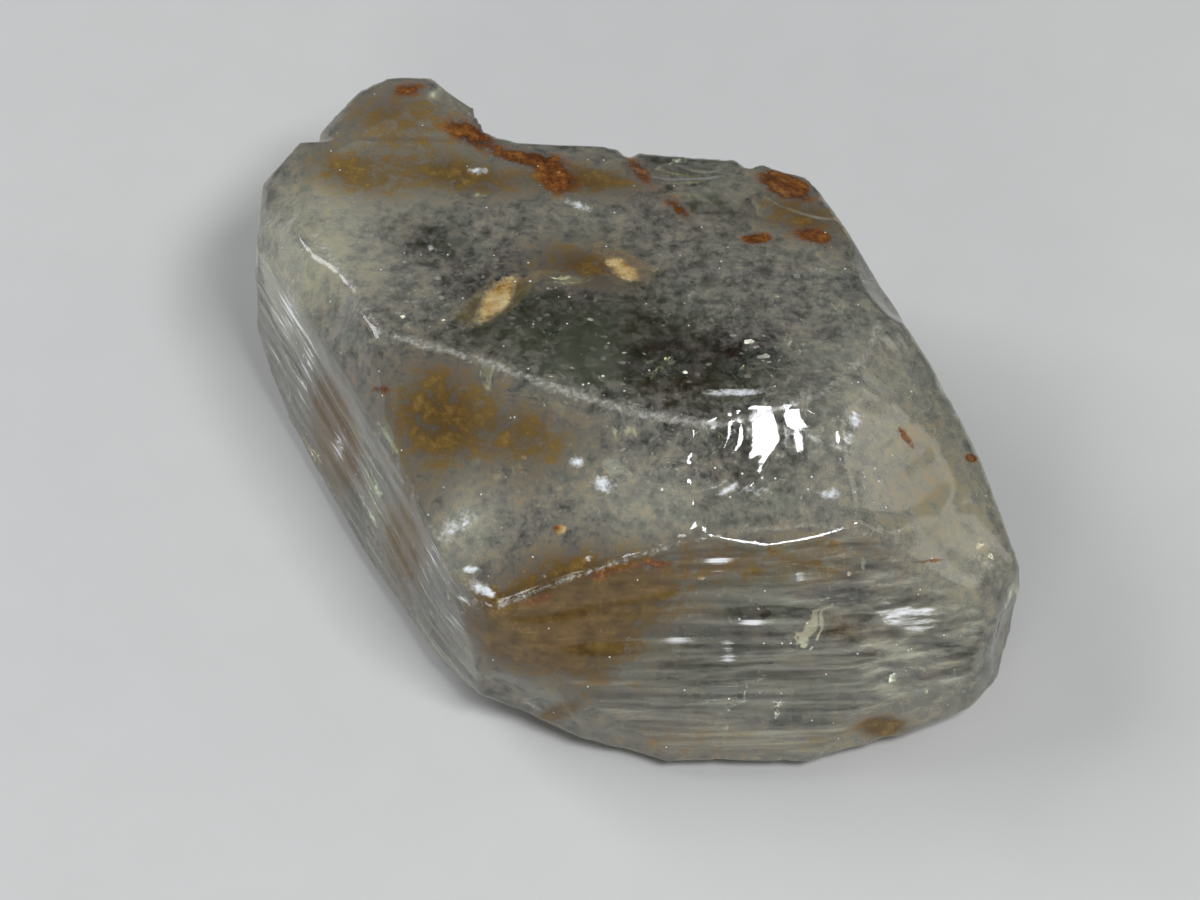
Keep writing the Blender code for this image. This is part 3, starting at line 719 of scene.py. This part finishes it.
stoneFinish = {
    "body": "f4f2ea",
    "roughness": 0.02,
    "absorb": "b9c4ad",
    "density": 110.0,                    # per metre
    "grains": {                          # noise: features per mm, octaves, how strong the small ones are
        "fine": (5.0, 3, 0.7),
        "middle": (1.6, 6, 0.78),
    },
    "combed": (8.0, 0.4),                # mm, length and width of the streaks on the prism faces
    "combedGrain": (1.9, -0.45),         # factor and shift that stretch them about the middle of their range
    "combedHaze": 0.75,                  # how far the haze on those faces follows them
    "ringPitch": 0.4,                    # mm
    "ringGrain": (1.4, -0.7),            # factor and shift
    "speckCells": 2.4,                   # per mm
    "speckShare": 0.28,
    "speckReach": 0.3,                   # in cells
    # amount + sway x grain gives a layer's reach, which starts to show at start and is full at full;
    # wide is how far its colour goes beyond that, tones run along its grain
    "layers": [
        {"name": "haze", "grain": "middle", "sway": 1.4, "start": 0.7, "full": 2.05, "wide": 1.0,
         "tones": [(0.35, "9b9a74"), (0.65, "eceac8")], "hides": 0.56, "dull": 0.2},
        {"name": "ochre", "grain": "middle", "sway": 1.3, "start": 0.62, "full": 1.5, "wide": 1.25,
         "tones": [(0.3, "6a4a1c"), (0.7, "ae8a48")], "hides": 0.3, "dull": 0.2},
        # painted shade: dark streaks in place of the dark seen through clear stone
        {"name": "wisps", "grain": "streak", "sway": 2.4, "start": 1.6, "full": 2.7, "wide": 1.0,
         "tones": [(0.3, "35332a"), (0.7, "5d5a48")], "hides": 0.5, "dull": 0.1},
        {"name": "amber", "grain": "middle", "sway": 0.7, "start": 0.75, "full": 1.1, "wide": 2.0,
         "tones": [(0.35, "b98c42"), (0.65, "ecd6a0")], "hides": 0.6, "dull": 0.2},
        {"name": "rust", "grain": "middle", "sway": 1.2, "start": 0.9, "full": 1.6, "wide": 1.8,
         "tones": [(0.35, "4a2409"), (0.52, "804711"), (0.7, "b37c3c")], "hides": 0.55, "dull": 0.35},
        # painted glints: white patches that paint in the light that crack walls and rippled breaks throw back
        {"name": "silver", "grain": "drawn", "sway": 2.4, "start": 1.35, "full": 2.3, "wide": 1.3,
         "tones": [(0.3, "b4b8b6"), (0.5, "e2e6e6"), (0.66, "ffffff")], "hides": 0.8, "dull": 0.12},
        {"name": "specks", "grain": "dots", "sway": 1.0, "start": 0.84, "full": 0.96, "wide": 1.0,
         "tones": [(0.0, "cfcdc2"), (1.0, "f0efe8")], "hides": 0.9, "dull": 0.3},
        {"name": "wear", "grain": "fine", "sway": 1.8, "start": 1.15, "full": 2.2, "wide": 1.5,
         "tones": [(0.35, "989485"), (0.6, "c6c3b6")], "hides": 0.55, "dull": 0.45},
    ],
}


def stoneMaterial():
    # natural beryl, grown and broken: clear glass to the eye, clouded by tiny hollows, stained brown by iron,
    # rubbed white at its edges; painted glints and painted dark streaks of shade lie on its skin
    finish = stoneFinish
    material, tree, shader, output = newMaterial("goshenite, grown and broken")
    where = addNode(tree, "ShaderNodeTexCoord").outputs["Object"]
    inMm = addNode(tree, "ShaderNodeMapping", {"Scale": (1 / mm,) * 3}, {"Vector": where})

    # streaks along the two prism faces: a grain drawn out, along X in front and along the left face there
    long, narrow = finish["combed"]
    drawn = {"vector_type": "TEXTURE", "Scale": (long, narrow, narrow)}
    front = addNode(tree, "ShaderNodeMapping", drawn, {"Vector": inMm})
    leftTurn = math.atan2(stoneLook["leftFace"][0], -stoneLook["leftFace"][1])
    side = addNode(tree, "ShaderNodeMapping", {**drawn, "Rotation": (0, 0, leftTurn)}, {"Vector": inMm})
    onLeft = addNode(tree, "ShaderNodeAttribute", {"attribute_name": "striaeLeft"}).outputs["Fac"]
    onFront = addNode(tree, "ShaderNodeAttribute", {"attribute_name": "striaeFront"}).outputs["Fac"]
    along = addNode(tree, "ShaderNodeMix", {"data_type": "VECTOR"}, {0: onLeft, 4: front, 5: side}).outputs[1]
    streak = {"Scale": 1.0, "Detail": 5.0, "Roughness": 0.6}
    streak = addNode(tree, "ShaderNodeTexNoise", streak, {"Vector": along})
    factor, shift = finish["combedGrain"]
    streak = addNode(tree, "ShaderNodeMath", {"operation": "MULTIPLY_ADD", 1: factor, 2: shift}, {0: streak})
    onEither = addNode(tree, "ShaderNodeMath", {"operation": "MAXIMUM"}, {0: onLeft, 1: onFront})

    grains = {"streak": streak}
    for name, (size, octaves, small) in finish["grains"].items():
        settings = {"Scale": size, "Detail": octaves, "Roughness": small}
        grains[name] = addNode(tree, "ShaderNodeTexNoise", settings, {"Vector": inMm})
    # a dot in every few cells
    cells = addNode(tree, "ShaderNodeTexVoronoi", {"Scale": finish["speckCells"]}, {"Vector": inMm})
    chosen = {"operation": "GREATER_THAN", 1: 1 - finish["speckShare"]}
    chosen = addNode(tree, "ShaderNodeMath", chosen, {0: cells.outputs["Color"]})
    near = {2: finish["speckReach"], 3: 1.0, 4: 0.0}
    near = addNode(tree, "ShaderNodeMapRange", near, {0: cells.outputs["Distance"]})
    grains["dots"] = addNode(tree, "ShaderNodeMath", {"operation": "MULTIPLY"}, {0: near, 1: chosen})

    # the painted glints are drawn out: along the rings of a break, or along the prism faces
    ringAway = addNode(tree, "ShaderNodeAttribute", {"attribute_name": "ringAway"}).outputs["Fac"]
    onRings = addNode(tree, "ShaderNodeAttribute", {"attribute_name": "ringHigh"}).outputs["Fac"]
    bands = {"noise_dimensions": "1D", "Scale": 1 / finish["ringPitch"], "Detail": 2.0}
    bands = addNode(tree, "ShaderNodeTexNoise", bands, {"W": ringAway})
    factor, shift = finish["ringGrain"]
    rings = addNode(tree, "ShaderNodeMath", {"operation": "MULTIPLY_ADD", 1: factor, 2: shift}, {0: bands})
    wave = addNode(tree, "ShaderNodeMath", {"operation": "MULTIPLY"}, {0: rings, 1: onRings})
    ragged = {2: grains["middle"], 3: grains["fine"]}
    ragged = addNode(tree, "ShaderNodeMix", {"data_type": "FLOAT", 0: 0.5}, ragged)
    wave = addNode(tree, "ShaderNodeMath", {"operation": "ADD"}, {0: ragged, 1: wave})
    either = {0: onEither, 2: wave, 3: streak}
    grains["drawn"] = addNode(tree, "ShaderNodeMix", {"data_type": "FLOAT"}, either)

    colour = addNode(tree, "ShaderNodeRGB")
    colour.outputs[0].default_value = hexColour(finish["body"])
    clear = addNode(tree, "ShaderNodeValue")
    clear.outputs[0].default_value = 1.0
    dull = addNode(tree, "ShaderNodeValue")
    dull.outputs[0].default_value = finish["roughness"]
    for layer in finish["layers"]:
        grain = grains[layer["grain"]]
        if layer["name"] == "haze":
            share = {"operation": "MULTIPLY", 1: finish["combedHaze"]}
            share = addNode(tree, "ShaderNodeMath", share, {0: onEither})
            grain = addNode(tree, "ShaderNodeMix", {"data_type": "FLOAT"}, {0: share, 2: grain, 3: streak})
        amount = addNode(tree, "ShaderNodeAttribute", {"attribute_name": layer["name"]}).outputs["Fac"]
        reach = {"operation": "MULTIPLY_ADD", 1: layer["sway"]}
        reach = addNode(tree, "ShaderNodeMath", reach, {0: grain, 2: amount})
        ends = {"interpolation_type": "SMOOTHSTEP", 1: layer["start"], 2: layer["full"]}
        mask = addNode(tree, "ShaderNodeMapRange", ends, {0: reach})
        # the colour reaches a little past the part that hides, so that no pale rim shows
        wide = {"operation": "MULTIPLY", 1: layer["wide"], "use_clamp": True}
        wide = addNode(tree, "ShaderNodeMath", wide, {0: mask})
        tone = addNode(tree, "ShaderNodeValToRGB", {"stops": layer["tones"]}, {0: grain})
        laidOver = {0: wide, 6: colour, 7: tone}
        colour = addNode(tree, "ShaderNodeMix", {"data_type": "RGBA"}, laidOver).outputs[2]
        shows = {"operation": "MULTIPLY_ADD", 1: -layer["hides"], 2: 1.0}
        shows = addNode(tree, "ShaderNodeMath", shows, {0: mask})
        clear = addNode(tree, "ShaderNodeMath", {"operation": "MULTIPLY"}, {0: clear, 1: shows})
        blur = addNode(tree, "ShaderNodeMath", {"operation": "MULTIPLY", 1: layer["dull"]}, {0: mask})
        dull = addNode(tree, "ShaderNodeMath", {"operation": "MAXIMUM"}, {0: dull, 1: blur})
    tree.links.new(colour, shader.inputs["Base Color"])
    tree.links.new(clear.outputs[0], shader.inputs["Transmission Weight"])
    tree.links.new(dull.outputs[0], shader.inputs["Roughness"])

    shader.inputs["IOR"].default_value = stoneLook["refraction"]
    absorb = {"Color": hexColour(finish["absorb"]), "Density": finish["density"]}
    absorb = addNode(tree, "ShaderNodeVolumeAbsorption", absorb)
    tree.links.new(absorb.outputs[0], output.inputs["Volume"])
    return material


def makeStone():
    outer = fineStone()
    points, flow, wear, masks = sculptStone(outer)
    values = {"wear": wear, **masks, **paintSkin(points, flow)}
    cracks = makeCracks()
    mesh = bpy.data.meshes.new("crystal")
    cracks.from_mesh(outer)              # the skin comes after the cracks' own vertices
    cracks.to_mesh(mesh)
    inner = len(mesh.vertices) - len(points)
    cracks.free()
    for name, amount in values.items():
        layer = mesh.attributes.new(name, "FLOAT", "POINT")
        layer.data.foreach_set("value", np.concatenate([np.zeros(inner), amount]).astype(np.float32))
    stone = dressPiece("crystal", mesh, stoneMaterial())
    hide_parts("goshenite_crystal")
    print("crystal", sum(len(face.vertices) - 2 for face in mesh.polygons), "triangles")


makeStone()


# Iron films and healed veils inside the stone: thin curved sheets, ragged at their rims

filmLook = {
    "cells": 26,
    "skin": 0.12,                        # mm of stone outside them
    "thinning": (0.35, 1.5, -1.0),       # where it starts, how fast it goes, and where the sheet is cut off
    "waves": (0.25, 0.6),                # height in mm, how many per mm
    "cloud": {"Detail": 7.0, "Roughness": 0.7},
    "broad": {"Scale": 0.7, "Detail": 3.0, "Distortion": 1.0},
    "toneSway": 1.6,
    "shine": 0.3,
    "ironFinish": {
        "name": "iron stain in cracks, amber to rust",
        "grain": 1.3, "start": 0.5, "full": 1.35, "most": 0.85, "roughness": 0.45,
        "tones": [(0.0, "463010"), (0.25, "71501e"), (0.5, "9c7833"), (0.8, "cdae62"), (1.0, "e2cd92")],
    },
    "veilFinish": {
        "name": "healed crack, clouded with tiny bubbles",
        "grain": 2.6, "start": 0.75, "full": 1.6, "most": 0.42, "roughness": 0.35,
        "tones": [(0.0, "8f8c80"), (0.5, "b5b1a2"), (1.0, "d8d5c8")],
    },
    # each: pixel, depth and half sizes in mm, turn and tilts in degrees, bend in mm, tone, how solid
    "iron": [
        ((497, 298), 1.6, (1.0, 2.1), 36, (10, 20), 0.3, 0.85, 1.1),
        ((620, 268), 1.8, (1.5, 0.9), 35, (20, 0), 0.2, 0.75, 1.0),
        ((575, 270), 3.2, (2.2, 1.5), 0, (20, 10), 0.4, 0.35, 0.0),
        ((790, 190), 0.8, (1.7, 0.9), 20, (30, 0), 0.2, 0.2, 0.0),
        ((790, 235), 0.6, (2.4, 0.5), 3, (40, 0), 0.2, 0.65, 0.0),
        ((450, 400), 1.8, (1.3, 2.6), 10, (10, 30), 0.4, 0.45, 0.0),
        ((550, 420), 2.6, (2.6, 1.6), 20, (30, 0), 0.4, 0.3, 0.0),
        ((410, 480), 1.4, (1.0, 1.8), 25, (0, 30), 0.3, 0.5, 0.0),
        ((590, 620), 1.6, (3.4, 2.0), 5, (-20, 0), 0.5, 0.45, 0.0),
        ((560, 660), 2.4, (2.6, 1.6), 10, (-10, 20), 0.5, 0.6, 0.0),
        ((655, 568), 0.8, (1.6, 0.6), 8, (20, 0), 0.2, 0.7, 0.0),
        ((620, 645), 1.0, (1.0, 0.9), 0, (0, 0), 0.2, 0.85, 0.0),
        ((350, 470), 1.4, (0.8, 2.2), 30, (0, 40), 0.3, 0.55, 0.0),
        ((385, 510), 1.6, (0.7, 2.0), 30, (0, 30), 0.3, 0.5, 0.0),
        ((800, 560), 2.4, (2.6, 1.4), 10, (-20, 0), 0.5, 0.5, 0.0),
        ((390, 150), 1.2, (2.6, 1.8), 0, (20, 0), 0.4, 0.4, 0.0),
        ((830, 630), 2.6, (2.6, 1.2), 5, (-20, 0), 0.4, 0.55, 0.0),
    ],
    "veil": [
        ((390, 240), 1.4, (4.2, 2.2), 10, (30, 10), 0.6, 0.5, 0.0),
        ((520, 450), 1.8, (4.0, 2.4), 15, (20, -10), 0.6, 0.5, 0.0),
        ((900, 540), 2.2, (3.6, 3.2), 20, (10, 20), 0.7, 0.45, 0.0),
        ((800, 330), 2.0, (2.6, 2.2), 0, (30, 20), 0.5, 0.4, 0.0),
        ((700, 590), 2.6, (4.6, 1.6), 5, (-30, 0), 0.6, 0.4, 0.0),
        ((680, 215), 1.8, (3.0, 1.2), 12, (40, 0), 0.4, 0.5, 0.0),
        ((850, 680), 1.6, (4.0, 1.4), 10, (-20, 10), 0.4, 0.5, 0.0),
        ((640, 360), 0.8, (2.8, 1.6), 10, (20, 0), 0.3, 0.15, 0.0),
    ],
}


def filmMaterial(finish):
    # a stain or cloud in a crack has no thickness to see: only its colour, ragged and thin towards the rim
    material, tree, shader, _ = newMaterial(finish["name"])
    where = addNode(tree, "ShaderNodeTexCoord").outputs["Object"]
    inMm = addNode(tree, "ShaderNodeMapping", {"Scale": (1 / mm,) * 3}, {"Vector": where})
    cloud = {"Scale": finish["grain"], **filmLook["cloud"]}
    cloud = addNode(tree, "ShaderNodeTexNoise", cloud, {"Vector": inMm})
    broad = addNode(tree, "ShaderNodeTexNoise", filmLook["broad"], {"Vector": inMm})
    tone = addNode(tree, "ShaderNodeAttribute", {"attribute_name": "tone"}).outputs["Fac"]
    body = addNode(tree, "ShaderNodeAttribute", {"attribute_name": "body"}).outputs["Fac"]
    shade = addNode(tree, "ShaderNodeMath", {"operation": "ADD", 1: -0.5}, {0: cloud})
    sway = {"operation": "MULTIPLY_ADD", 1: filmLook["toneSway"]}
    shade = addNode(tree, "ShaderNodeMath", sway, {0: shade, 2: tone})
    colour = addNode(tree, "ShaderNodeValToRGB", {"stops": finish["tones"]}, {0: shade})
    tree.links.new(colour.outputs[0], shader.inputs["Base Color"])
    both = addNode(tree, "ShaderNodeMath", {"operation": "ADD"}, {0: cloud, 1: broad})
    thick = addNode(tree, "ShaderNodeMath", {"operation": "ADD"}, {0: both, 1: body})
    ends = {1: finish["start"], 2: finish["full"], 4: finish["most"]}
    alpha = addNode(tree, "ShaderNodeMapRange", ends, {0: thick})
    tree.links.new(alpha.outputs[0], shader.inputs["Alpha"])
    shader.inputs["Roughness"].default_value = finish["roughness"]
    shader.inputs["Specular IOR Level"].default_value = filmLook["shine"]
    return material


def makeFilms(name, films, material, seed):
    # each a bent sheet that thins out to a ragged rim; body says how thick it looks, tone how light
    shape = bmesh.new()
    body = shape.verts.layers.float.new("body")
    tone = shape.verts.layers.float.new("tone")
    cells = filmLook["cells"]
    thinFrom, thinning, cutAt = filmLook["thinning"]
    high, often = filmLook["waves"]
    for number, (pixel, depth, size, turn, tilt, bend, shade, solid) in enumerate(films):
        made = bmesh.ops.create_grid(shape, x_segments=cells, y_segments=cells, size=1.0)["verts"]
        for vert in made:
            x, y, _ = vert.co
            away = math.hypot(x, y)
            vert[body] = solid - max(0.0, away / raggedRim(x, y, seed + number) - thinFrom) * thinning
            vert[tone] = shade
            x, y = x * size[0], y * size[1]
            wave = high * noise.noise(Vector((x * often, y * often, seed + number)))
            lift = bend * (1 - away * away) + wave
            vert.co = Vector((x, y, lift)) * mm
        place = Matrix.Translation(seenAt(*pixel, depth)) @ turnedBy(turn, tilt).to_4x4()
        bmesh.ops.transform(shape, matrix=place, verts=made)
        outside = [vert for vert in made if vert[body] < cutAt or insideBy(vert.co) < filmLook["skin"] * mm]
        bmesh.ops.delete(shape, geom=outside, context="VERTS")
    newPiece(name, shape, material)


makeFilms("iron_films", filmLook["iron"], filmMaterial(filmLook["ironFinish"]), seed=5.0)
makeFilms("healed_veils", filmLook["veil"], filmMaterial(filmLook["veilFinish"]), seed=9.0)


# Specks: tiny bright flakes that glint in the stone

speckLook = {
    "count": 900,
    "dice": 12,
    "size": (0.03, 0.16),                # mm
    "narrowness": (0.4, 1.0),
    "corners": 5,
    "roughness": 0.25,
    "metal": 0.6,
    "colour": "f4f2ea",
    "depth": (0.15, 3.0),                # mm
    "spread": (16, 12),                  # pixels across and down
    "near": [                            # pixel they gather at, and how widely, in spreads
        (520, 300, 2.4), (640, 370, 2.6), (760, 330, 2.2), (850, 420, 2.4), (560, 480, 2.6),
        (700, 600, 3.0), (420, 300, 2.0), (900, 560, 2.4), (500, 600, 1.6), (680, 470, 1.8),
    ],
}


def makeSpecks():
    # mica split along its layers as it grew in: each flake flashes where it faces a lamp
    material, _, shader, _ = newMaterial("mica flake, bright")
    shader.inputs["Base Color"].default_value = hexColour(speckLook["colour"])
    shader.inputs["Roughness"].default_value = speckLook["roughness"]
    shader.inputs["Metallic"].default_value = speckLook["metal"]
    dice = random.Random(speckLook["dice"])
    shape = bmesh.new()
    made = 0
    while made < speckLook["count"]:
        across, down, spreadOut = dice.choice(speckLook["near"])
        across += dice.gauss(0, spreadOut * speckLook["spread"][0])
        down += dice.gauss(0, spreadOut * speckLook["spread"][1])
        start, way = sightLine(across, down)
        if stoneTree.ray_cast(start, way)[0] is None:
            continue
        spot = seenAt(across, down, dice.uniform(*speckLook["depth"]))
        if insideBy(spot) < speckLook["depth"][0] * mm:
            continue
        turn = Matrix.Rotation(dice.uniform(0, math.tau), 4, Vector([dice.uniform(-1, 1) for _ in range(3)]))
        size = dice.uniform(*speckLook["size"]) * mm
        narrow = Matrix.Diagonal((1.0, dice.uniform(*speckLook["narrowness"]), 1.0, 1.0))
        place = Matrix.Translation(spot) @ turn @ narrow
        corners = speckLook["corners"]
        bmesh.ops.create_circle(shape, cap_ends=True, segments=corners, radius=size, matrix=place)
        made += 1
    newPiece("bright_specks", shape, material, smooth=False)


makeSpecks()
print("films, veils and specks made")

# How far the light is followed: through the stone and its cracks, but not on and on over the floor

lightPaths = {
    "max_bounces": 8,
    "diffuse_bounces": 1,
    "glossy_bounces": 2,
    "transmission_bounces": 8,
    "transparent_max_bounces": 8,
}
bpy.context.scene.view_settings.view_transform = "Standard"
for kind, bounces in lightPaths.items():
    setattr(bpy.context.scene.cycles, kind, bounces)
